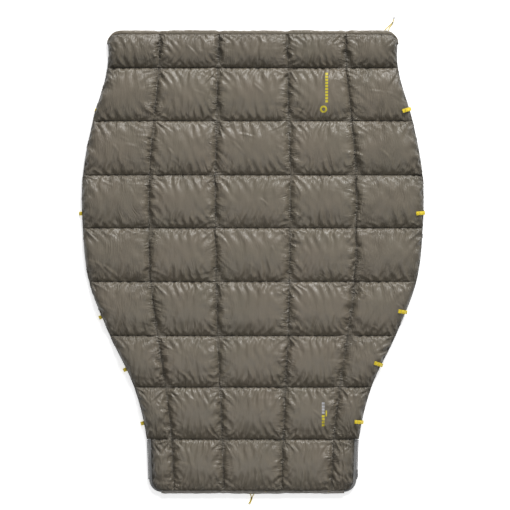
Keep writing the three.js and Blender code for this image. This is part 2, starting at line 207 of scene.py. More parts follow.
def closedSlab(name, x, y, top, base):
    # Two grids of heights over the same places, joined by a wall round their rim; UV in metres.
    x, y, top, base = np.broadcast_arrays(x, y, top, base)
    lines, across = top.shape
    points = np.concatenate([np.stack([x, y, v], axis=-1).reshape(-1, 3) for v in (top, base)])
    index = np.arange(lines * across).reshape(lines, across)
    rim = np.concatenate([index[0, :-1], index[:-1, -1], index[-1, :0:-1], index[:0:-1, 0]])
    onward, below = np.roll(rim, -1), lines * across
    wall = np.stack([rim, onward, onward + below, rim + below], axis=1)
    faces = [gridQuads(lines, across), gridQuads(lines, across, below)[:, ::-1], wall]
    uv = np.stack([runAlong(x, y, 0), runAlong(x, y, 1)], axis=-1).reshape(-1, 2)
    piece = meshFrom(name, points, np.concatenate(faces).tolist(), np.tile(uv, (2, 1)))
    turnOut(piece)
    return piece


def beads(name, centres, along, length, wide, tall, sides=5):
    # Many small rounded bars in one mesh, each of two rings and two tips.
    along = unit(along)
    beside = unit(np.cross(skyward, along))
    up = np.cross(along, beside)
    angle = np.arange(sides) * 2 * np.pi / sides
    ringSide = (np.cos(angle) * wide / 2)[:, None]
    ringRise = (np.sin(angle) * tall / 2)[:, None]
    ring = beside[:, None] * ringSide + up[:, None] * ringRise
    rings = [centres[:, None] + along[:, None] * (0.36 * k * length) + ring for k in (-1, 1)]
    tips = [(centres + along * (0.5 * k * length))[:, None] for k in (-1, 1)]
    points = np.concatenate([*rings, *tips], axis=1)
    k = np.arange(sides)
    nextK = (k + 1) % sides
    quads = np.stack([k, nextK, nextK + sides, k + sides], axis=1)
    ends = np.concatenate([
        np.stack([nextK, k, np.full(sides, 2 * sides)], axis=1),
        np.stack([k + sides, nextK + sides, np.full(sides, 2 * sides + 1)], axis=1)])
    start = (np.arange(len(centres)) * (2 * sides + 2))[:, None, None]
    faces = (start + quads).reshape(-1, 4).tolist() + (start + ends).reshape(-1, 3).tolist()
    run = np.repeat([0, 0.72 * length, 0, 0.9 * length], [sides, sides, 1, 1])
    uv = np.tile(np.stack([run, np.resize(angle * wide / 2, len(run))], axis=1), (len(centres), 1))
    piece = meshFrom(name, points.reshape(-1, 3), faces, uv)
    turnOut(piece)
    return piece


def roundRing(radius, sides, flatness=1.0):
    angle = np.arange(sides) * 2 * np.pi / sides
    return np.stack([radius * np.cos(angle), radius * flatness * np.sin(angle)], axis=1)


def strapRing(width, thickness, sides=5):
    # A flat section with half-round edges.
    turn = np.linspace(-np.pi / 2, np.pi / 2, sides)
    half = thickness / 2
    right = np.stack([width / 2 - half + half * np.cos(turn), half * np.sin(turn)], axis=1)
    return np.concatenate([right, -right])


def smoothPath(points, count):
    # A centripetal curve through the points, evenly spaced along its length.
    p = np.asarray(points, float)
    p = np.concatenate([[2 * p[0] - p[1]], p, [2 * p[-1] - p[-2]]])
    knots = np.concatenate([[0], np.cumsum(np.linalg.norm(np.diff(p, axis=0), axis=1) ** 0.5)])
    fine = []
    for i in range(1, len(p) - 2):
        t = np.linspace(knots[i], knots[i + 1], 24, endpoint=i == len(p) - 3)[:, None]
        t0, t1, t2, t3 = knots[i - 1:i + 3]
        a1 = (t1 - t) / (t1 - t0) * p[i - 1] + (t - t0) / (t1 - t0) * p[i]
        a2 = (t2 - t) / (t2 - t1) * p[i] + (t - t1) / (t2 - t1) * p[i + 1]
        a3 = (t3 - t) / (t3 - t2) * p[i + 1] + (t - t2) / (t3 - t2) * p[i + 2]
        b1 = (t2 - t) / (t2 - t0) * a1 + (t - t0) / (t2 - t0) * a2
        b2 = (t3 - t) / (t3 - t1) * a2 + (t - t1) / (t3 - t1) * a3
        fine.append((t2 - t) / (t2 - t1) * b1 + (t - t1) / (t2 - t1) * b2)
    fine = np.concatenate(fine)
    return placesAt(np.linspace(0, runOf(fine)[-1], count), fine)


def lengthOf(path):
    return float(np.linalg.norm(np.diff(path, axis=0), axis=1).sum())


# ---- camera ----
cameraPlace = {"x": 0.009, "y": 0.028, "height": 12.0, "viewWidth": 2.066}
cameraData = bpy.data.cameras.new("camera")
camera = bpy.data.objects.new("camera", cameraData)
bpy.context.scene.collection.objects.link(camera)
camera.location = (cameraPlace["x"], cameraPlace["y"], cameraPlace["height"])
cameraData.lens = cameraData.sensor_width * cameraPlace["height"] / cameraPlace["viewWidth"]
cameraData.clip_end = 60
bpy.context.scene.camera = camera
print("camera set")


# ---- materials ----
def newMaterial(name, **sockets):
    # A Principled material with constants on its own sockets; returns it, its tree and its shader.
    material = bpy.data.materials.new(name)
    material.use_nodes = True
    nodes = material.node_tree.nodes
    shader = nodes["Principled BSDF"]
    for socket, value in sockets.items():
        shader.inputs[socket.replace("_", " ")].default_value = value
    return material, material.node_tree, shader


def node(tree, kind, inputs=None, **settings):
    made = tree.nodes.new(kind)
    for key, value in settings.items():
        setattr(made, key, value)
    for key, value in (inputs or {}).items():
        if isinstance(value, bpy.types.NodeSocket):
            tree.links.new(value, made.inputs[key])
        else:
            made.inputs[key].default_value = value
    return made


def mixColor(tree, factor, a, b):
    a, b = ((*color, 1) if isinstance(color, tuple) else color for color in (a, b))
    return node(tree, "ShaderNodeMix", {0: factor, 6: a, 7: b}, data_type="RGBA").outputs[2]


def math(tree, operation, a, b=0.0):
    return node(tree, "ShaderNodeMath", {0: a, 1: b}, operation=operation).outputs[0]


def softNoise(tree, place, scale, detail, drawn=None, **more):
    # Noise at a place, which is first drawn out or squeezed along its axes.
    if drawn:
        place = node(tree, "ShaderNodeMapping", {"Vector": place, "Scale": drawn}).outputs[0]
    inputs = {"Vector": place, "Scale": scale, "Detail": detail, **more}
    return node(tree, "ShaderNodeTexNoise", inputs).outputs


def onSurface(tree, name):
    return node(tree, "ShaderNodeAttribute", attribute_name=name).outputs["Fac"]


def weaveGroup():
    # Plain weave: two crossed sine waves whose product gives the bump, and slow noise for worn colour.
    group = bpy.data.node_groups.new("plainWeave", "ShaderNodeTree")
    group.interface.new_socket(name="Place", in_out="INPUT", socket_type="NodeSocketVector")
    for name in ("Threads", "Blotch"):
        group.interface.new_socket(name=name, in_out="INPUT", socket_type="NodeSocketFloat")
    for name in ("Height", "Shade"):
        group.interface.new_socket(name=name, in_out="OUTPUT", socket_type="NodeSocketFloat")
    into, out = group.nodes.new("NodeGroupInput"), group.nodes.new("NodeGroupOutput")
    split = node(group, "ShaderNodeSeparateXYZ", {0: into.outputs["Place"]})
    waves = [
        math(group, "SINE", math(group, "MULTIPLY", split.outputs[axis], into.outputs["Threads"]))
        for axis in ("X", "Y")
    ]
    group.links.new(math(group, "MULTIPLY", *waves), out.inputs["Height"])
    slow = softNoise(group, into.outputs["Place"], into.outputs["Blotch"], 3)
    group.links.new(slow["Fac"], out.inputs["Shade"])
    return group


plainWeave = weaveGroup()


def weave(tree, coordinates, threads, blotch):
    made = node(tree, "ShaderNodeGroup", node_tree=plainWeave)
    tree.links.new(coordinates, made.inputs["Place"])
    made.inputs["Threads"].default_value = threads
    made.inputs["Blotch"].default_value = blotch
    return made.outputs["Height"], made.outputs["Shade"]


def bumpInto(tree, shader, height, strength, distance, normal=None):
    made = node(tree, "ShaderNodeBump", {"Strength": strength, "Distance": distance, "Height": height})
    if normal is not None:
        tree.links.new(normal, made.inputs["Normal"])
    if shader is not None:
        tree.links.new(made.outputs[0], shader.inputs["Normal"])
    return made.outputs[0]


shellColor = {"light": (0.170, 0.150, 0.109), "dark": (0.126, 0.113, 0.083), "rough": 0.41}


nylonLook = {
    "sheen": 0.15,
    "sheenRough": 0.4,
    "specular": 0.56,
    "threads": 9000.0,
    "blotch": 9.0,
    "fadeTint": (1.02, 0.94, 0.97),
    "hairs": 120.0,
    "hairSharpness": 16.0,
    "hairDark": 0.3,  # painted shade: how far a hair fold darkens the cloth at its bottom
    "hairDepth": 0.0075,
    "dents": 62.0,
    "dentDepth": 0.022,
}


def nylonShell(name, light, dark, rough, marks=None):
    # Thin downproof nylon: blotchy colour, fine streaks, hair folds where the surface's "gather" is high with
    # painted shade along their bottoms, dents where its "crumple" is, and painted shade at the rims, seams
    # and collar where a third attribute says.
    look = nylonLook
    gloss = {"Sheen_Weight": look["sheen"], "Sheen_Roughness": look["sheenRough"],
             "Specular_IOR_Level": look["specular"]}
    material, tree, shader = newMaterial(name, **gloss)
    place = node(tree, "ShaderNodeTexCoord").outputs["Object"]
    height, shade = weave(tree, place, look["threads"], look["blotch"])
    color = mixColor(tree, shade, dark, light)
    region = softNoise(tree, place, 7.0, 2)["Fac"]
    faded = tuple(c * k for c, k in zip(light, look["fadeTint"]))
    color = mixColor(tree, math(tree, "MULTIPLY", region, 0.9), color, faded)
    streak = softNoise(tree, place, 130.0, 4, (1.0, 0.35, 1.0), Roughness=0.6)["Fac"]
    roughness = math(tree, "ADD", math(tree, "MULTIPLY", streak, 0.16), rough - 0.08)
    tree.links.new(roughness, shader.inputs["Roughness"])
    if marks:
        for mask, tint in marks(tree, place):
            color = mixColor(tree, mask, color, tint)

    drift = softNoise(tree, place, 6.0, 1)["Color"]
    shift = node(tree, "ShaderNodeVectorMath", {0: drift, 1: (0.09, 0.09, 0.0)}, operation="MULTIPLY")
    bent = node(tree, "ShaderNodeVectorMath", {0: place, 1: shift.outputs[0]}, operation="ADD").outputs[0]
    gather = onSurface(tree, "gather")
    hair = softNoise(tree, bent, look["hairs"], 3, (1.0, 0.13, 0.4), Roughness=0.5)["Fac"]
    fold = math(tree, "ABSOLUTE", math(tree, "SUBTRACT", hair, 0.5))
    # Painted shade along the bottoms of the hair folds, where the "gather" attribute is high.
    bottom = math(tree, "SUBTRACT", 1.0, math(tree, "MULTIPLY", fold, look["hairSharpness"]))
    lines = math(tree, "MAXIMUM", math(tree, "MULTIPLY", bottom, gather), 0.0)
    lines = math(tree, "MULTIPLY", lines, look["hairDark"])
    color = mixColor(tree, lines, color, tuple(c * 0.42 for c in dark))
    # Painted shade: the colour is darkened at the rims, beside the seams and over the collar row.
    color = mixColor(tree, onSurface(tree, "worn"), color, tuple(c * 0.30 for c in dark))
    tree.links.new(color, shader.inputs["Base Color"])

    coarse = softNoise(tree, bent, look["dents"], 2, (0.4, 1.0, 0.4), Roughness=0.5, Distortion=0.6)["Fac"]
    dent = math(tree, "ABSOLUTE", math(tree, "SUBTRACT", coarse, 0.5))
    dent = math(tree, "MULTIPLY", dent, onSurface(tree, "crumple"))
    normal = bumpInto(tree, None, dent, 1.0, look["dentDepth"])
    normal = bumpInto(tree, None, math(tree, "MULTIPLY", fold, gather), 1.0, look["hairDepth"], normal)
    normal = bumpInto(tree, None, streak, 0.25, 0.0016, normal)
    bumpInto(tree, shader, height, 0.15, 0.0002, normal)
    return material


printYellow, printPale = (0.62, 0.52, 0.02), (0.45, 0.45, 0.47)
printRing = {"x": 0.286, "y": 0.617, "inside": 0.0075, "outside": 0.0145}


def printedMarks(tree, place):
    # Plain printed dashes and a ring, worked out from the place on the shell.
    split = node(tree, "ShaderNodeSeparateXYZ", {0: place})
    x, y = split.outputs["X"], split.outputs["Y"]

    def within(value, low, high):
        over, under = math(tree, "GREATER_THAN", value, low), math(tree, "LESS_THAN", value, high)
        return math(tree, "MULTIPLY", over, under)

    def dashes(xs, ys, pitch, share):
        band = math(tree, "MULTIPLY", within(x, *xs), within(y, *ys))
        phase = math(tree, "FRACT", math(tree, "DIVIDE", math(tree, "SUBTRACT", y, ys[0]), pitch))
        return math(tree, "MULTIPLY", band, math(tree, "LESS_THAN", phase, share))

    sides = [math(tree, "SUBTRACT", axis, printRing[key]) for axis, key in ((x, "x"), (y, "y"))]
    away = math(tree, "SQRT", math(tree, "ADD", *(math(tree, "MULTIPLY", side, side) for side in sides)))
    return [
        (dashes((0.293, 0.304), (0.644, 0.768), 0.0124, 0.74), printYellow),
        (within(away, printRing["inside"], printRing["outside"]), printYellow),
        (dashes((0.279, 0.290), (-0.613, -0.564), 0.0124, 0.72), printPale),
        (dashes((0.279, 0.290), (-0.664, -0.616), 0.0121, 0.74), printYellow),
        (dashes((0.2945, 0.2995), (-0.624, -0.600), 0.03, 1.0), printYellow),
    ]


def yarn(name, light, dark, threads, rough, depth=0.0006):
    # Woven or braided yarn: diagonal ribs over the piece's own UV, in metres.
    material, tree, shader = newMaterial(name, Roughness=rough, Sheen_Weight=0.2)
    uv = node(tree, "ShaderNodeTexCoord").outputs["UV"]
    split = node(tree, "ShaderNodeSeparateXYZ", {0: uv})
    slants = [math(tree, join, split.outputs["X"], split.outputs["Y"]) for join in ("ADD", "SUBTRACT")]
    ribs = [math(tree, "SINE", math(tree, "MULTIPLY", slant, threads)) for slant in slants]
    height = math(tree, "MAXIMUM", *ribs)
    fuzz = softNoise(tree, uv, 900.0, 3)["Fac"]
    both = math(tree, "MULTIPLY", math(tree, "ADD", math(tree, "MULTIPLY", height, 0.5), 0.5), fuzz)
    tree.links.new(mixColor(tree, both, dark, light), shader.inputs["Base Color"])
    bumpInto(tree, shader, height, 0.5, depth)
    return material


def hardPart(name, base, rough, metallic):
    material, tree, shader = newMaterial(name, Metallic=metallic)
    place = node(tree, "ShaderNodeTexCoord").outputs["Object"]
    grain = softNoise(tree, place, 700.0, 4)["Fac"]
    worn = tuple(min(1, c * 2.2) for c in base)
    tree.links.new(mixColor(tree, math(tree, "POWER", grain, 3.0), base, worn), shader.inputs["Base Color"])
    roughness = math(tree, "ADD", math(tree, "MULTIPLY", grain, 0.3), rough - 0.15)
    tree.links.new(roughness, shader.inputs["Roughness"])
    bumpInto(tree, shader, grain, 0.1, 0.0003)
    return material


def fibreFill(name):
    material, tree, shader = newMaterial(name, Roughness=0.9)
    place = node(tree, "ShaderNodeTexCoord").outputs["Object"]
    tufts = softNoise(tree, place, 120.0, 8)["Fac"]
    tree.links.new(mixColor(tree, tufts, (0.6, 0.59, 0.55), (0.86, 0.85, 0.8)), shader.inputs["Base Color"])
    bumpInto(tree, shader, tufts, 0.8, 0.002)
    return material


shellNylon = nylonShell("shellNylon", **shellColor, marks=printedMarks)
liningNylon = nylonShell("liningNylon", (0.085, 0.084, 0.077), (0.066, 0.065, 0.060), 0.45)
hemNylon = nylonShell("hemNylon", (0.150, 0.142, 0.122), (0.105, 0.098, 0.084), 0.45)
yellowCord = yarn("yellowCord", (0.78, 0.60, 0.01), (0.52, 0.38, 0.005), 2600.0, 0.55)
yellowWebbing = yarn("yellowWebbing", (0.95, 0.74, 0.012), (0.72, 0.54, 0.01), 3600.0, 0.58)
greyTape = yarn("greyTape", (0.29, 0.29, 0.29), (0.15, 0.15, 0.15), 3000.0, 0.7)
# Painted shade: the yellow cord coloured darker for the tight turns of the knots.
knotCord = yarn("knotCord", (0.30, 0.24, 0.02), (0.16, 0.13, 0.015), 2600.0, 0.6)
tackThread = yarn("tackThread", (0.86, 0.74, 0.16), (0.55, 0.42, 0.05), 5200.0, 0.55)
seamThread = yarn("seamThread", (0.07, 0.065, 0.05), (0.035, 0.03, 0.025), 5000.0, 0.55)
coilPlastic = hardPart("coilPlastic", (0.035, 0.035, 0.034), 0.45, 0.0)
tipPlastic = hardPart("tipPlastic", (0.11, 0.10, 0.085), 0.5, 0.0)
zipMetal = hardPart("zipMetal", (0.12, 0.12, 0.12), 0.38, 0.9)
whiteFill = fibreFill("whiteFill")


def finishPiece(piece, material, body, nodes=()):
    piece.data.materials.append(material)
    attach(piece, body)
    if nodes:
        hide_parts(*nodes)
    return piece


# ---- drawcords ----
cordDiameter = 0.0034
knotShape = {"spread": 0.00095, "strand": 0.0015}
neckLegs = {
    "a": [[534, 935.4, 12], [536, 940, 11.4], [541, 946, 8],
          [548, 952.5, 3.6], [554, 958, 2], [562.2, 966.2, 1.8]],
    "b": [[550, 935.4, 12], [550.6, 940, 11.4], [552.4, 946, 8],
          [556, 952, 3.6], [560, 957, 2], [565, 964, 1.8]],
}
neckKnot = [566.4, 968.6, 3.5]
neckTail = [[567, 970, 1.8], [569.6, 977, 1.8], [571, 984, 1.8]]
footLegs = {
    "a": [[-11, -935.4, 12], [-10.4, -939, 11], [-8.8, -943, 7], [-7.2, -947.5, 3.4], [-6.4, -951.2, 2]],
    "b": [[5, -935.4, 12], [4.4, -939, 11], [2.4, -943, 7], [0, -947.5, 3.4], [-2, -951.6, 2]],
}
footKnot = [-4.6, -955.6, 3.5]
footTails = {
    "a": [[-6.6, -957, 1.8], [-9.6, -966, 1.8], [-12.6, -973, 1.8], [-17, -979, 1.8]],
    "b": [[-3.2, -958, 1.8], [-6.2, -966.6, 1.8], [-8.6, -973.4, 1.8], [-12.2, -981, 1.8]],
}


def millimetres(points):
    return np.asarray(points, float) / 1000


def makeCord(name, points, body, nodes):
    path = smoothPath(millimetres(points), 40)
    piece = sweep(name, path, (1, 0.2, 0), roundRing(cordDiameter / 2, 12))
    finishPiece(piece, yellowCord, body, nodes)
    print(name, "length", round(lengthOf(path), 4))
    return piece


def makeKnot(name, centre, heading, body, nodes, tail=None):
    # An overhand knot drawn tight: a trefoil x = sin t + 2 sin 2t, y = cos t - 2 cos 2t, z = -1.5 sin 3t,
    # with a tail if there is one.
    t = np.linspace(0, 2 * np.pi, 73)[:-1]
    flat = [np.sin(t) + 2 * np.sin(2 * t), np.cos(t) - 2 * np.cos(2 * t)]
    loop = knotShape["spread"] * np.stack([*flat, -1.5 * np.sin(3 * t)], axis=1)
    cos, sin = np.cos(heading), np.sin(heading)
    turn = np.array([[cos, -sin, 0], [sin, cos, 0], [0, 0, 1]])
    path = loop @ turn.T + millimetres(centre)
    closed = np.concatenate([path, path[:2]])
    knot = sweep(name, closed, (0.1, 0.2, 1), roundRing(knotShape["strand"], 10))
    # The knot takes the darker copy of the yellow cord, painted shade for its tight turns.
    knot.data.materials.append(knotCord)
    if tail is not None:
        tailPath = smoothPath(millimetres(tail), 16)
        end = sweep(name + "_tail", tailPath, (1, 0, 0), roundRing(cordDiameter / 2, 12))
        end.data.materials.append(yellowCord)
        joinInto(knot, end)
    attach(knot, body)
    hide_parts(*nodes)
    return knot


def joinInto(piece, *others):
    bpy.ops.object.select_all(action="DESELECT")
    for other in others:
        other.select_set(True)
    piece.select_set(True)
    bpy.context.view_layer.objects.active = piece
    bpy.ops.object.join()


neckKnotPiece = makeKnot("neck_knot", neckKnot, 0.9, "row_1", ["neck_cord_knot"], neckTail)
makeCord("neck_drawcord_a", neckLegs["a"], "row_1", ["neck_cord_a"])
makeCord("neck_drawcord_b", neckLegs["b"], "row_1", ["neck_cord_b"])
footKnotPiece = makeKnot("foot_knot", footKnot, 0.2, "row_9", ["foot_cord_knot"])
makeCord("foot_drawcord_a", footLegs["a"] + footTails["a"], "row_9", ["foot_cord_a"])
makeCord("foot_drawcord_b", footLegs["b"] + footTails["b"], "row_9", ["foot_cord_b"])
print("cords made")

# ---- the stuffed shell ----
shell = {
    "loft": 0.0285,  # from a seam up to the middle of a cell
    "alongSteps": 60,
    "columnSteps": [62, 78, 78, 78, 62],
    "groove": 0.06,  # share of the loft left at a lengthwise seam
    "wall": 0.015,  # how far from a lengthwise seam the cloth has risen by 63 %
    "sideWall": 0.011,
    "collarStart": 0.24,  # share of the loft at the neck hem
    "clothThickness": 0.0004,
    "seed": 11,
}
liningDepth = 0.0095


def rowEdges(row):
    top = headEdge - cut["headHem"] if row == 1 else seamY[row - 1]
    bottom = footEdge + cut["footHem"] if row == lastRow else seamY[row]
    return top, bottom


def halfWidthIn(row, y):
    top, bottom = rowEdges(row)
    trim = cut["footBand"] if row == lastRow else 0
    width = alongQuilt(cut["halfWidths"], y) - trim
    if row == 1:
        width = width - cornerCut(cut["cornerRadius"] - cut["headHem"], top - y)
    if row == lastRow:
        width = width - cornerCut(cut["cornerRadius"] - trim + 0.004, y - bottom)
    return width


def rowGrid(row, alongSteps, columnSteps):
    # Places of a row's grid points: lines step from head to foot, closer together at the seams; columns
    # run from one lengthwise seam to the next, closer together at the sides.
    top, bottom = rowEdges(row)
    u = np.linspace(0, 1, alongSteps + 1)
    s = u - 0.05 * np.sin(2 * np.pi * u)
    y = top - s * (top - bottom)
    inner, outer = (alongQuilt(cut[seams], y) for seams in ("innerSeams", "outerSeams"))
    side = halfWidthIn(row, y)
    rims = [-side, -outer, -inner, inner, outer, side]
    xs, column, t = [], [], []
    for c, steps in enumerate(columnSteps):
        share = np.linspace(0, 1, steps + 1)
        if c == 0:
            share = share**1.35
        elif c == len(columnSteps) - 1:
            share = 1 - (1 - share) ** 1.35
        share = share if c == 0 else share[1:]
        xs.append(rims[c][:, None] + (rims[c + 1] - rims[c])[:, None] * share[None])
        column += [c] * len(share)
        t.append(share)
    x = np.concatenate(xs, axis=1)
    t = np.broadcast_to(np.concatenate(t)[None], x.shape)
    column = np.broadcast_to(np.array(column)[None], x.shape)
    wide = np.stack([b - a for a, b in zip(rims, rims[1:])], axis=1)
    width = np.take_along_axis(wide, column, axis=1)
    y, s = (np.broadcast_to(v[:, None], x.shape) for v in (y, s))
    return {"x": x, "y": y, "s": s, "t": t, "column": column, "width": width, "depth": top - bottom,
            "rims": rims, "fromCross": np.minimum(s, 1 - s) * (top - bottom),
            "fromLength": np.minimum(t, 1 - t) * width,
            "nearSide": ((column == 0) & (t < 0.5)) | ((column == 4) & (t > 0.5))}


def pillow(share, power, fullness):
    # 1 in the middle and 0 at both ends: (1 - |2 share - 1|^power)^fullness.
    return np.clip(1 - np.abs(2 * share - 1) ** power, 0, 1) ** fullness


def ridged(value, sharpness=0.75):
    # Turns smooth noise into sharp crests between round hollows.
    return 0.6 - 1.6 * np.abs(value) ** sharpness


# Widths of the gathers, each as (width, height, how far it fades over, how far it grows over, seed).
seamGathers = [
    (0.0105, 0.0024, 0.022, 0.0030, 1),
    (0.017, 0.0030, 0.040, 0.006, 2),
    (0.030, 0.0024, 0.075, 0.016, 3),
]
sideGathers = [
    (0.012, 0.0040, 0.012, 0.0022, 5),
    (0.020, 0.0086, 0.022, 0.004, 6),
    (0.04, 0.0040, 0.045, 0.012, 7),
]


def fadeOut(away, grow, fade):
    # Grows from nothing at a seam over one distance and fades over another.
    return np.exp(-away / fade) * (1 - np.exp(-away / grow))


def seamPuckers(g, row):
    # Gathers that run away from the cross seams: noise drawn out along lines that lean from the seam
    # towards the middle of the cell, in three widths that fade with distance from the seam.
    x, y, s = g["x"], g["y"], g["s"]
    mid = x + (0.5 - g["t"]) * g["width"]
    total = 0
    for end, seamLine, away in ((0, row - 1, s * g["depth"]), (1, row, (1 - s) * g["depth"])):
        reach = 1.5 if end else 1.0
        strength = 1.0 if end else 0.5
        lean = np.clip(away / g["depth"], 0, 0.5) * 0.55
        root = (x - mid * lean) / (1 - lean)
        drift = 0.006 * noise(root / 0.05, y / 0.08, 40 + seamLine)
        for width, height, fade, grow, seed in seamGathers:
            lines = noise((root + drift) / width + 31.7 * seamLine, y / (7 * width), seed * 100 + seamLine)
            patch = 0.55 + 0.75 * smoothStep(-0.5, 0.6, noise(root / 0.09, seamLine * 3.1, seed + 70))
            total = total + strength * height * patch * ridged(lines) * fadeOut(away, grow, fade * reach)
    return total


def sidePuckers(g, row):
    # Short slanting gathers beside the lengthwise seams and the sides.
    x, y = g["x"], g["y"]
    total = 0
    for left, away in ((1, g["t"] * g["width"]), (0, (1 - g["t"]) * g["width"])):
        line = g["column"] + (0 if left else 1)
        onSide = (line == 0) | (line == 5)
        slant = 0.75 * noise(line * 7.3, y / 0.11, 90) + np.where(left, 0.6, 0.1)
        root = y + slant * away
        for width, height, fade, grow, seed in sideGathers:
            lines = noise(root / width + 17.3 * line, x / (6 * width), seed * 100 + row)
            patch = 0.25 + 1.1 * smoothStep(-0.25, 0.55, noise(root / 0.07 + 5.1 * line, seed, 60 + left))
            share = np.where(onSide, 0.6, 1) * patch
            total = total + height * share * ridged(lines) * fadeOut(away, grow, fade)
    return total


def puckers(g, row):
    return seamPuckers(g, row) + sidePuckers(g, row)


def addCreases(g, height, creases):
    # Each crease is a ridge with a softer hollow on one side: a bell across its line, tapering along it.
    for cx, cy, angle, length, width, lift in creases:
        ax, ay = np.cos(angle), np.sin(angle)
        dx, dy = g["x"] - cx, g["y"] - cy
        along, off = dx * ax + dy * ay, dy * ax - dx * ay
        near = (np.abs(off) < 4 * width) & (along > -0.2 * length) & (along < 1.2 * length)
        if not near.any():
            continue
        p = along[near] / length
        body = np.clip(p, 0, 1) ** 0.5 * np.clip(1 - p, 0, 1) ** 0.8 * 1.7
        bend = off[near] - 0.12 * length * p * (1 - p)
        across = np.exp(-(bend / width) ** 2) - 0.55 * np.exp(-((bend - 1.5 * width) / width) ** 2)
        height[near] += lift * body * across


def crossingCreases():
    # A fan of creases out of each crossing of seams, longer towards the foot.
    random = np.random.default_rng(shell["seed"])
    made = []
    lines = [("outerSeams", -1), ("innerSeams", -1), ("innerSeams", 1), ("outerSeams", 1), ("halfWidths", -1),
             ("halfWidths", 1)]
    for r in range(lastRow + 1):
        for values, sign in lines:
            x0 = sign * cut[values][r]
            count = random.integers(6, 10)
            start = random.uniform(0, 2 * np.pi)
            for k in range(count):
                angle = start + 2 * np.pi * (k + random.uniform(-0.35, 0.35)) / count
                down = -np.sin(angle)
                angle = np.where(random.uniform() < 0.35, random.uniform(-1.3, -0.35), angle)
                length = random.uniform(0.030, 0.075) * (1.3 if down > 0.2 else 0.8)
                lift = random.uniform(0.0024, 0.0062)
                made.append((x0 + 0.004 * np.cos(angle), seamY[r] + 0.004 * np.sin(angle), angle, length,
                             random.uniform(0.0034, 0.0050), lift))
    return made


def looseCreases():
    # Folds inside the cells, mostly slanting down to the right.
    random = np.random.default_rng(shell["seed"] + 1)
    made = []
    for _ in range(120):
        y = random.uniform(footEdge + 0.03, headEdge - 0.03)
        x = random.uniform(-0.95, 0.95) * alongQuilt(cut["halfWidths"], y)
        angle = random.normal(-1.05, 0.5)
        spans = ((0.03, 0.085), (0.004, 0.006), (0.0012, 0.0040))
        made.append((x, y, angle, *(random.uniform(*span) for span in spans)))
    return made


allCreases = crossingCreases() + looseCreases()


def billow(g, row):
    # Height of the stuffed cells over the seams: a pillow along times a pillow across, each cell a little
    # fuller or flatter than the next, with slow unevenness where the stuffing is thick.
    x, y, s, t = g["x"], g["y"], g["s"], g["t"]
    along = pillow(s, 2.0, np.where(s < 0.5, 0.60, 0.70))
    side = g["nearSide"]
    wall = np.where(side, shell["sideWall"], shell["wall"]) * (1 + 0.35 * noise(y / 0.045, x / 0.3, 8))
    across = (1 - np.exp(-t * g["width"] / wall)) * (1 - np.exp(-(1 - t) * g["width"] / wall))
    across = across * (0.88 + 0.12 * pillow(t, 2.0, 1.0))
    across = np.where(side, across, shell["groove"] + (1 - shell["groove"]) * across)
    if row == 1:
        along = np.where(s < 0.5, shell["collarStart"] + (1 - shell["collarStart"]) * along, along)
    plump = 1 + 0.07 * noise(g["column"] * 1.7, row * 1.3, 9)
    height = shell["loft"] * plump * along * across
    swell = np.clip(along * across * 1.4, 0, 1)
    uneven = 0.0020 * noise(x / 0.085, y / 0.075, 20) + 0.0009 * noise(x / 0.034, y / 0.04, 21)
    height = height + swell * uneven
    return cut["seamHeight"] + shell["clothThickness"] + np.maximum(height, 0)


def firstWrinkles(g, row):
    # Where the cloth starts to buckle: gathers and creases, nothing at the stitching itself.
    wrinkles = puckers(g, row)
    addCreases(g, wrinkles, allCreases)
    rise = billow(g, row) - cut["seamHeight"]
    pinned = (1 - np.exp(-g["fromCross"] / 0.004)) * (1 - np.exp(-g["fromLength"] / 0.004))
    return wrinkles * np.minimum(1, rise / 0.013) * pinned


def gatherShares(g):
    # How much longer the cloth is than its stitching: most beside the seams, in uneven patches.
    x, y = g["x"], g["y"]
    patchX = 0.6 + 0.8 * smoothStep(-0.5, 0.5, noise(x / 0.08, y / 0.15, 31))
    patchY = 0.3 + 1.2 * smoothStep(-0.4, 0.5, noise(x / 0.15, y / 0.06, 32))
    across = cloth["slackAcross"] + cloth["gatherAcross"] * patchX * np.exp(-g["fromCross"] / 0.055)
    along = cloth["slackAlong"] + cloth["gatherAlong"] * patchY * np.exp(-g["fromLength"] / 0.040)
    return across, along


cloth = {
    "rounds": 140,
    "slackAcross": 0.022,
    "gatherAcross": 0.100,
    "slackAlong": 0.006,
    "gatherAlong": 0.110,
    "damping": 0.88,
    "bendGrip": 0.26,
    "shearGrip": 0.12,
    "stuffing": 0.006,  # share of the way back to the billow that the stuffing pushes each round
    "reach": 0.007,  # furthest that cloth strays from the billow
    "ceiling": 0.0455,
    "creased": 0.92,  # share of the first wrinkles that is pressed back in at the end
}


def pull(p, free, first, second, rest, grip):
    # Moves the two ends of each thread towards its rest length, by their freedom to move.
    a, b = p[first], p[second]
    gap = b - a
    long = np.sqrt((gap * gap).sum(-1))
    weight = free[first] + free[second]
    share = grip * (long - rest) / (np.maximum(weight, 1) * np.maximum(long, 1e-6))
    step = gap * share[..., None]
    p[first] = a + step * free[first][..., None]
    p[second] = b - step * free[second][..., None]


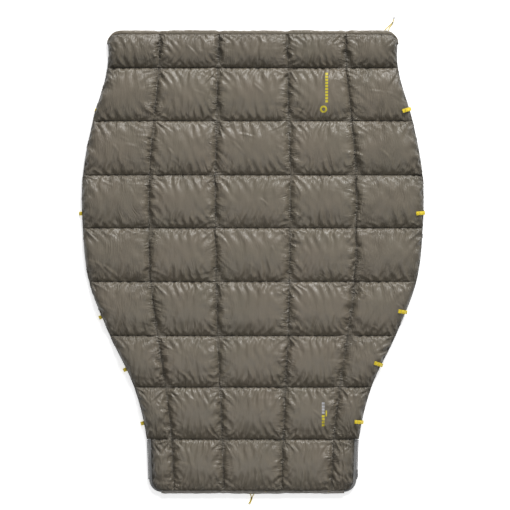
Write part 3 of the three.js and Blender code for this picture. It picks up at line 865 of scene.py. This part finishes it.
def settleCloth(start, goal, across, along):
    # A sheet of threads between pinned seams, longer than its seams by the given shares, is let go from
    # start: each round it drifts on, threads pull to their lengths, and the stuffing pushes it to goal.
    p, goal = start.astype(np.float32), goal.astype(np.float32)
    free = np.ones(p.shape[:3], np.float32)
    free[:, [0, -1]] = 0
    free[:, :, seamColumns] = 0
    folds = free.copy()
    for beside in (1, -1):
        folds[:, :, np.clip(seamColumns + beside, 0, free.shape[2] - 1)] = 0
    everything = slice(None)

    def cells(lineStart, lineStop, lineStep, colStart, colStop, colStep):
        return (everything, slice(lineStart, lineStop, lineStep), slice(colStart, colStop, colStep))

    def restOf(first, second, share):
        gap = goal[second] - goal[first]
        return np.sqrt((gap * gap).sum(-1)) * (1 + 0.5 * (share[first] + share[second]))

    slant = 0.5 * (across + along)
    threads = []
    for k in (0, 1):
        even = cells(None, None, None, k, -1, 2), cells(None, None, None, k + 1, None, 2)
        threads.append((*even, restOf(*even, across), 1.0))
        even = cells(k, -1, 2, None, None, None), cells(k + 1, None, 2, None, None, None)
        threads.append((*even, restOf(*even, along), 1.0))
        even = cells(k, -1, 2, None, -1, None), cells(k + 1, None, 2, 1, None, None)
        threads.append((*even, restOf(*even, slant), cloth["shearGrip"]))
        even = cells(k, -1, 2, 1, None, None), cells(k + 1, None, 2, None, -1, None)
        threads.append((*even, restOf(*even, slant), cloth["shearGrip"]))
    before = p.copy()
    for turn in range(cloth["rounds"]):
        drift = (p - before) * cloth["damping"]
        before = p.copy()
        p += drift + (goal - p) * cloth["stuffing"]
        for first, second, rest, grip in threads:
            size = min(p[first].shape[1], p[second].shape[1]), min(p[first].shape[2], p[second].shape[2])
            pull(p, free, first, second, rest, grip)
        middle = p[:, :, 2:-2] * 6 - 4 * (p[:, :, 1:-3] + p[:, :, 3:-1]) + p[:, :, :-4] + p[:, :, 4:]
        p[:, :, 2:-2] -= middle * (cloth["bendGrip"] / 6) * folds[:, :, 2:-2, None]
        middle = p[:, 2:-2] * 6 - 4 * (p[:, 1:-3] + p[:, 3:-1]) + p[:, :-4] + p[:, 4:]
        p[:, 2:-2] -= middle * (cloth["bendGrip"] / 6) * folds[:, 2:-2, :, None]
        p = goal + np.clip(p - goal, -cloth["reach"], cloth["reach"])
        p[..., 2] = np.minimum(p[..., 2], cloth["ceiling"])
        p = np.where(free[..., None] > 0, p, goal)
    return p.astype(float)


seamColumns = np.concatenate([[0], np.cumsum(shell["columnSteps"])])
grids = {row: rowGrid(row, shell["alongSteps"], shell["columnSteps"]) for row in rows}
goalShape = np.stack([np.stack([g["x"], g["y"], billow(g, row)], axis=-1) for row, g in grids.items()])
startShape = goalShape.copy()
startShape[..., 2] += np.stack([firstWrinkles(g, row) for row, g in grids.items()])
gathers = [np.stack(v).astype(np.float32) for v in zip(*(gatherShares(g) for g in grids.values()))]
print("letting the cloth settle")
settled = settleCloth(startShape, goalShape, *gathers)
settled[..., 2] += cloth["creased"] * (startShape - goalShape)[..., 2]
floorUnder = cut["seamHeight"] + shell["clothThickness"] + 0.35 * (goalShape[..., 2] - cut["seamHeight"])
settled[..., 2] = np.clip(settled[..., 2], floorUnder, cloth["ceiling"] + 0.002)

# Painted shade: how dark the cloth is painted in the folds at the sides and seams and over the collar, and
# over how many metres that fades.
paintedShade = {"side": (0.85, 0.019), "lengthSeam": (0.42, 0.008), "crossSeam": (0.30, 0.003), "collar": 0.16}


def shellMasks(g, row):
    # Where the cloth has hair folds, where it is crumpled and where painted shade darkens it most.
    fromCross, fromLength = g["fromCross"], g["fromLength"]
    outer = np.where((g["column"] == 0) | (g["column"] == 4), 0.3, 0.0)
    gather = np.exp(-fromCross / 0.038) + 0.5 * np.exp(-fromLength / 0.016) + outer + 0.12
    gather *= 0.6 + 0.8 * smoothStep(-0.5, 0.5, noise(g["x"] / 0.07, g["y"] / 0.1, 33))
    index = np.broadcast_to(np.arange(gather.shape[1])[None], gather.shape)
    nearRight = np.where(index > seamColumns[-2], 1 - g["t"], 9)
    fromSide = np.where(index < seamColumns[1], g["t"], nearRight) * g["width"]
    between = np.where(fromSide < g["width"] / 2, 0, 1)
    patch = 0.5 + smoothStep(-0.4, 0.5, noise(g["x"] / 0.1, g["y"] / 0.05, 34))
    crumple = between * np.exp(-fromLength / 0.017) * patch
    reaches = {"side": fromSide, "lengthSeam": fromLength, "crossSeam": fromCross}
    shares = {key: paintedShade[key][0] * np.exp(-away / paintedShade[key][1]) for key, away in reaches.items()}
    # Painted shade at the sides, beside the lengthwise seams and at the cross seams, more over the collar
    # row.
    worn = shares["side"] + between * shares["lengthSeam"] + shares["crossSeam"]
    return {"gather": gather, "crumple": crumple, "worn": worn + (paintedShade["collar"] if row == 1 else 0.0)}


shellRows = {}
for row in rows:
    shape = settled[row - 1]
    lines, across = shape.shape[:2]
    piece = meshFrom(f"shell_cloth_{row}", shape.reshape(-1, 3), gridQuads(lines, across).tolist())
    for name, value in shellMasks(grids[row], row).items():
        mask = piece.data.attributes.new(name, "FLOAT", "POINT")
        mask.data.foreach_set("value", value.astype(np.float32).ravel())
    solid = piece.modifiers.new("cloth", "SOLIDIFY")
    solid.thickness = shell["clothThickness"]
    solid.offset = -1
    finishPiece(piece, shellNylon, f"row_{row}", [f"outer_shell_{row}"])
    shellRows[row] = shape
print("shell made")


# ---- lining and stuffing ----
def liningHeights(g, row):
    along = pillow(g["s"], 4.0, 0.5)
    across = pillow(g["t"], 6.0, 0.4)
    across = np.where(g["nearSide"], 1 - np.exp(-g["fromLength"] / 0.030), 0.45 + 0.55 * across)
    drop = liningDepth * along * across
    drop = np.clip(drop + 0.5 * puckers(g, row + 20) * np.minimum(1, drop / 0.002), 0, liningDepth + 0.0012)
    return cut["seamHeight"] - 0.0002 - drop


battColumns = [31, 39, 39, 39, 31]


def underShell(row, g):
    # Lowest of the settled shell around each point of a grid with half as many steps each way.
    z = np.pad(shellRows[row][..., 2], 2, mode="edge")
    steps = range(5)
    lines, across = z.shape[0] - 4, z.shape[1] - 4
    lowest = np.min([z[i:i + lines, k:k + across] for i in steps for k in steps], axis=0)
    return lowest[::2, ::2]


for row in rows:
    g = rowGrid(row, shell["alongSteps"] // 2, battColumns)
    low = liningHeights(g, row)
    lines, across = low.shape
    points = np.stack([g["x"], g["y"], low], axis=-1).reshape(-1, 3)
    quads = gridQuads(lines, across)[:, ::-1]
    piece = meshFrom(f"lining_cloth_{row}", points, quads.tolist())
    solid = piece.modifiers.new("cloth", "SOLIDIFY")
    solid.thickness = shell["clothThickness"]
    solid.offset = -1
    finishPiece(piece, liningNylon, f"row_{row}", [f"lining_{row}"])
    wide = 2 * float(g["rims"][5].max()) * 1.04

    high = underShell(row, g)
    rim = np.where(g["column"] == 0, g["t"], np.where(g["column"] == 4, 1 - g["t"], 1)) * g["width"]
    room = high - low
    keep = np.minimum(1, np.minimum(g["fromCross"], rim) / 0.012)
    top = low + 0.5 * room + (0.5 * room - 0.0022) * keep
    base = low + 0.5 * room - (0.5 * room - 0.0016) * keep
    top = np.maximum(top, base + 0.0003)
    inner = slice(2, -2)
    top, base = top[inner, inner], base[inner, inner]
    gx, gy = g["x"][inner, inner], g["y"][inner, inner]
    batt = closedSlab(f"stuffing_{row}", gx, gy, top, base)
    finishPiece(batt, whiteFill, f"row_{row}", [f"insulation_{row}"])
print("lining and stuffing made")

# ---- stitching ----
stitch = {"pitch": 0.0040, "length": 0.0028, "thick": 0.0008}


def stitchesAlong(points):
    # Evenly spaced places along a line of points, with the line's direction at each.
    at = np.arange(stitch["pitch"] / 2, runOf(points)[-1] - stitch["pitch"] / 2, stitch["pitch"])
    before, after = placesAt(at - 0.001, points), placesAt(at + 0.001, points)
    return (before + after) / 2, after - before


for row in rows:
    shape = shellRows[row].copy()
    shape[..., 2] += 0.0002
    lines = [shape[1:-1, c] for c in seamColumns[1:-1]]
    lines += [shape[1, 2:-2]] if row > 1 else []
    places, ways = (np.concatenate(v) for v in zip(*(stitchesAlong(line) for line in lines)))
    sewn = beads(f"stitches_{row}", places, ways, stitch["length"], stitch["thick"], stitch["thick"], 4)
    sewn.data.materials.append(seamThread)
    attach(sewn, f"row_{row}")
print("stitching made")


# ---- hems ----
def hemSleeve(name, inner, outer, top, low, body, cadNode, notch):
    # A sleeve between an inner and an outer line; top and low give its heights at a share of its width.
    run = runOf(outer)
    share = np.sin(np.linspace(0, np.pi / 2, 10))[None]
    outward = unit(outer - inner)
    wave = 0.0024 + 0.0014 * noise(run / 0.024, 0.5, 51) + 0.0018 * noise(run / 0.070, 0.5, 52)
    for seam in (cut["innerSeams"][0], cut["outerSeams"][0]):
        wave -= notch * np.exp(-((np.abs(outer[:, 0]) - seam) / 0.011) ** 2)
    wave = np.maximum(wave, -0.0012)
    outer = outer + outward * wave[:, None]
    place = inner[:, None] + (outer - inner)[:, None] * share[..., None]
    folds = ridged(noise(run[:, None] / 0.0085, share * 1.3, 53)) * 0.0018
    folds = folds + noise(run[:, None] / 0.03, share, 54) * 0.0012
    folds = folds * np.sqrt(1 - share**2) * np.clip(share * 5, 0, 1)
    sleeve = closedSlab(name, place[..., 0], place[..., 1], top(share) + folds, low(share))
    wide = float(np.linalg.norm(outer - inner, axis=1).mean())
    finishPiece(sleeve, hemNylon if name.startswith("foot") else shellNylon, body, [cadNode])
    return sleeve, float(run[-1]), wide


def neckSleeve():
    # Straight along the head edge; at each corner the outer line is a quarter of the outer circle and the
    # inner one a quarter of the collar's own, smaller circle.
    trim, radius = cut["headHem"], cut["cornerRadius"]
    middle = alongQuilt(cut["halfWidths"], headEdge) - radius
    angle = np.linspace(np.pi / 2, 0, 26)[1:]
    ray = trim * np.cos(angle) + np.sqrt((radius - trim) ** 2 - (trim * np.sin(angle)) ** 2)
    ray = np.minimum(ray, radius - 0.0022)
    across = np.linspace(-middle, middle, 380)
    halves = []
    for r, y in ((ray, headEdge - trim), (np.full_like(ray, radius), headEdge)):
        corner = np.stack([middle + r * np.cos(angle), headEdge - radius + r * np.sin(angle)], axis=1)
        line = np.stack([across, np.full_like(across, y)], axis=1)
        halves.append(np.concatenate([corner[::-1] * [-1, 1], line, corner]))
    inner, outer = halves
    first = shellRows[1][0]
    rise = np.interp(inner[:, 0], first[:, 0], first[:, 2])[:, None]
    rim = cut["seamHeight"]
    swollen = np.maximum(rise, rim + 0.003)

    def top(f):
        return rim + 0.0004 + (swollen - rim) * np.sqrt(1 - f**5)

    def low(f):
        return rim - 0.0004 - 0.0050 * np.sqrt(1 - f**2)

    return hemSleeve("neck_sleeve", inner, outer, top, low, "row_1", "neck_hem", 0.0040)


def footSleeve():
    middle = alongQuilt(cut["halfWidths"], footEdge) - cut["cornerRadius"]
    across = np.linspace(-middle - 0.004, middle + 0.004, 280)
    edges = (footEdge + cut["footHem"], footEdge)
    inner, outer = (np.stack([across, np.full_like(across, y)], axis=1) for y in edges)
    rim = cut["seamHeight"] + 0.0004

    def top(f):
        seam = 0.30 + 0.10 * noise(across[:, None] / 0.03, 0.5, 57)
        return rim + 0.0032 * np.sqrt(1 - f**6) - 0.0030 * np.exp(-((f - seam) / 0.12) ** 2)

    def low(f):
        return rim - 0.0012 - 0.0030 * np.sqrt(1 - f**2)

    return hemSleeve("foot_sleeve", inner, outer, top, low, "row_9", "foot_hem", 0.0015)


for make in (neckSleeve, footSleeve):
    sleeve, long, wide = make()
print("hems made")


# ---- zip tapes and coils ----
zipPlace = {"start": 0.004, "tapeIn": 0.0172, "tapeOut": 0.0043, "stop": 0.0053, "box": 0.0083}
cornerY = footEdge + cut["cornerRadius"]


def sideLine(inside, fromY, toY, steps, corner=0):
    # Down the right side at a distance inside the edge, and round the corner in the given steps.
    y = np.linspace(fromY, toY, steps)
    line = np.stack([alongQuilt(cut["halfWidths"], y) - inside, y], axis=1)
    if corner:
        angle = np.linspace(0, -np.pi / 2, corner + 1)[1:]
        middle = alongQuilt(cut["halfWidths"], cornerY) - cut["cornerRadius"]
        r = cut["cornerRadius"] - inside
        bend = np.stack([middle + r * np.cos(angle), cornerY + r * np.sin(angle)], axis=1)
        line = np.concatenate([line, bend])
    return line


zipTop = seamY[lastRow - 1] - zipPlace["start"]
for side, sign, seed in (("right", 1, 61), ("left", -1, 64)):
    tapeTop = seamY[lastRow - 1] - 0.0008
    outer, inner = (sideLine(zipPlace[k], tapeTop, cornerY, 90, 34) for k in ("tapeOut", "tapeIn"))
    run = runOf(inner)
    share = np.linspace(0, 1, 9)[None]
    inner = inner + (inner - outer) * (0.07 * noise(run / 0.016, 0.5, seed))[:, None]
    place = inner[:, None] + (outer - inner)[:, None] * share[..., None]
    loose = np.sin(np.pi * np.clip(share, 0, 0.8) / 0.8)
    lift = 0.0019 * noise(run[:, None] / 0.020, share * 0.5, seed + 1) * loose
    middle = cut["seamHeight"] - 0.0004 + lift
    tape = closedSlab(f"tape_{side}", place[..., 0] * sign, place[..., 1], middle + 0.00045, middle - 0.00045)
    finishPiece(tape, greyTape, "row_9", [f"zip_tape_{side}"])

    coilTop, coilEnd = zipTop - zipPlace["stop"] - 0.0010, cornerY + zipPlace["box"] + 0.0008
    centre = sideLine(0.0020, coilTop, coilEnd, 76)
    centre = np.concatenate([centre * [sign, 1], np.full((len(centre), 1), cut["seamHeight"])], axis=1)
    down = np.gradient(centre, axis=0)
    coil = beads(f"coil_{side}", centre, np.cross(skyward, down), 0.0039, 0.0010, 0.0030, 8)
    core = sweep(f"coil_core_{side}", centre, np.cross(down[0], skyward), strapRing(0.0022, 0.0016))
    coil.data.materials.append(coilPlastic)
    core.data.materials.append(coilPlastic)
    joinInto(coil, core)
    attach(coil, "row_9")
    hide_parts(f"zip_chain_{side}")
print("zip made")


# ---- webbing loops ----
webbing = {"width": 0.015, "thick": 0.0009, "layerGap": 0.00062, "inwards": 0.032, "over": 0.0019}
loopTurns = {"right_4": 0.10, "right_6": 0.26, "right_7": 0.12, "right_8": 0.10, "left_8": 0.08}


def highestUnder(row, root, out, inwards):
    # Highest of the settled shell under a strap, at a distance inwards from its root.
    points = shellRows[row].reshape(-1, 3)
    away = points[:, :2] - root[:2]
    depth, beside = -(away @ out), away @ np.array([-out[1], out[0]])
    under = (np.abs(depth - inwards) < 0.0035) & (np.abs(beside) < webbing["width"] / 2 + 0.002)
    return points[under, 2].max() if under.any() else cut["seamHeight"]


def foldedStrap(name, root, out, profile):
    # One webbing doubled: out along the lower side of the profile, round its end and back along the upper.
    line = np.asarray(profile, float)
    ahead = unit(np.gradient(line, axis=0))
    normal = np.stack([-ahead[:, 1], ahead[:, 0]], axis=1) * webbing["layerGap"]
    bend = line[-1] + ahead[-1] * webbing["layerGap"]
    doubled = np.concatenate([line + normal, [bend], (line - normal)[::-1]])
    path = smoothPath(doubled @ [[1, 0, 0], [0, 0, 1]], 110)
    outward, edge = np.array([*out, 0.0]), np.array([-out[1], out[0], 0.0])
    place = root + path[:, :1] * outward + path[:, 2:] * skyward
    strap = sweep(name, place, edge, strapRing(webbing["width"], webbing["thick"]))
    tackAt = root + line[-3, 0] * outward + line[-3, 1] * skyward
    lift = np.sign(line[-3, 1]) * (webbing["layerGap"] + webbing["thick"] / 2 + 0.0001)
    shares = np.linspace(-0.42, 0.42, 15)[:, None]
    places = tackAt + shares * webbing["width"] * edge + lift * skyward
    ways = outward + 0.25 * edge * np.resize([1, -1], (15, 1))
    tack = beads(name + "_tack", places, ways, 0.0032, 0.0009, 0.0006)
    strap.data.materials.append(yellowWebbing)
    tack.data.materials.append(tackThread)
    length = lengthOf(place)
    joinInto(strap, tack)
    return strap, length


for joint in [j for j in frame["joints"] if j["name"].startswith("loop_")]:
    side, row = joint["name"].split("_")[1:3]
    root = np.array(joint["pos_m"], float)
    edge = np.array(joint["axis"], float)[:2]
    out = np.array([edge[1], -edge[0]]) / np.linalg.norm(edge)
    out = out * np.sign(out[0] * root[0])
    turn = loopTurns.get(f"{side}_{row}", 0.0)
    cos, sin = np.cos(turn), np.sin(turn)
    out = np.array([out[0] * cos - out[1] * sin, out[0] * sin + out[1] * cos])
    if side == "right":
        steps = [0.010, 0.015, 0.020, 0.025, webbing["inwards"]]
        over = [[-d, highestUnder(int(row), root, out, d) + webbing["over"] - root[2]] for d in steps]
        profile = [[0, 0], [0.0026, 0.0024], [0.0034, 0.0056], [0.0010, 0.0096], *over]
    else:
        reach = 0.0010 if row == "2" else 0.0100
        profile = [[0, 0], [0.27 * reach, -0.0026], [0.63 * reach, -0.0058], [reach, -0.0086]]
        profile += [[0.8 * reach, -0.0101], *([-d, -0.0102] for d in (0.0, 0.006, 0.014, 0.022, 0.028))]
    strap, long = foldedStrap(f"loop_strap_{side}_{row}", root, out, profile)
    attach(strap, f"loop_{side}_{row}")
    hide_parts(f"webbing_loop_{side}_{row}")
print("loops made")

# ---- carried-over CAD nodes ----
nodeFinish = {"neck_cord_tip": tipPlastic, "neck_cord_in_hem": yellowCord, "foot_cord_in_hem": yellowCord}
for name, cadNode in frame["nodes"].items():
    kind = nodeFinish.get(name)
    if name.startswith("zip"):
        kind = zipMetal
    if kind is not None:
        cadNode.data.materials.clear()
        cadNode.data.materials.append(kind)

# ---- floor and light ----
studio = {
    "floor": 0.9,
    "glow": 0.5,
    "sky": 0.46,
    "backdrop": 0.95,
    "key": 1020.0,
    "keyPlace": (2.4, 7.8, 4.6),
    "keySize": (4.5, 3.0),
    "fill": 20.0,
    "fillPlace": (0, -1.4, 3.5),
    "fillSize": (2.5, 2.0),
}
floor = meshFrom("floor", [(-8, -8, 0), (8, -8, 0), (8, 8, 0), (-8, 8, 0)], [(0, 1, 2, 3)])
floorMaterial, _, floorShader = newMaterial("paleFloor", Roughness=0.9)
floorShader.inputs["Base Color"].default_value = (studio["floor"],) * 3 + (1,)
floorShader.inputs["Emission Color"].default_value = (1, 1, 1, 1)
floorShader.inputs["Emission Strength"].default_value = studio["glow"]
floor.data.materials.append(floorMaterial)
floor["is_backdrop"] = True
sky = bpy.data.worlds.new("sky")
sky.use_nodes = True
sky.node_tree.nodes["Background"].inputs["Color"].default_value = (1, 1, 1, 1)
# The sky lights the quilt from overhead only, and is seen as an even pale backdrop.
skyTree = sky.node_tree
heading = node(skyTree, "ShaderNodeTexCoord").outputs["Generated"]
upward = math(skyTree, "MAXIMUM", node(skyTree, "ShaderNodeSeparateXYZ", {0: heading}).outputs["Z"], 0.0)
overhead = math(skyTree, "MULTIPLY", math(skyTree, "POWER", upward, 1.5), studio["sky"])
straight = node(skyTree, "ShaderNodeLightPath").outputs["Is Camera Ray"]
seen = math(skyTree, "MULTIPLY", straight, studio["backdrop"])
skyTree.links.new(math(skyTree, "MAXIMUM", overhead, seen), skyTree.nodes["Background"].inputs["Strength"])
bpy.context.scene.world = sky


def areaLight(name, place, size, power, target=(0, 0, 0)):
    data = bpy.data.lights.new(name, "AREA")
    data.shape = "RECTANGLE"
    data.size, data.size_y = size
    data.energy = power
    lamp = bpy.data.objects.new(name, data)
    bpy.context.scene.collection.objects.link(lamp)
    lamp.location = place
    away = np.array(place) - np.array(target)
    lamp.rotation_mode = "QUATERNION"
    lamp.rotation_quaternion = Vector(away).to_track_quat("Z", "Y")


areaLight("keyLight", studio["keyPlace"], studio["keySize"], studio["key"])
areaLight("fillLight", studio["fillPlace"], studio["fillSize"], studio["fill"], (0, -0.3, 0))
bpy.context.scene.view_settings.view_transform = "Standard"

low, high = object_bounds()
print("size", [round(v, 4) for v in (*low, *high)])
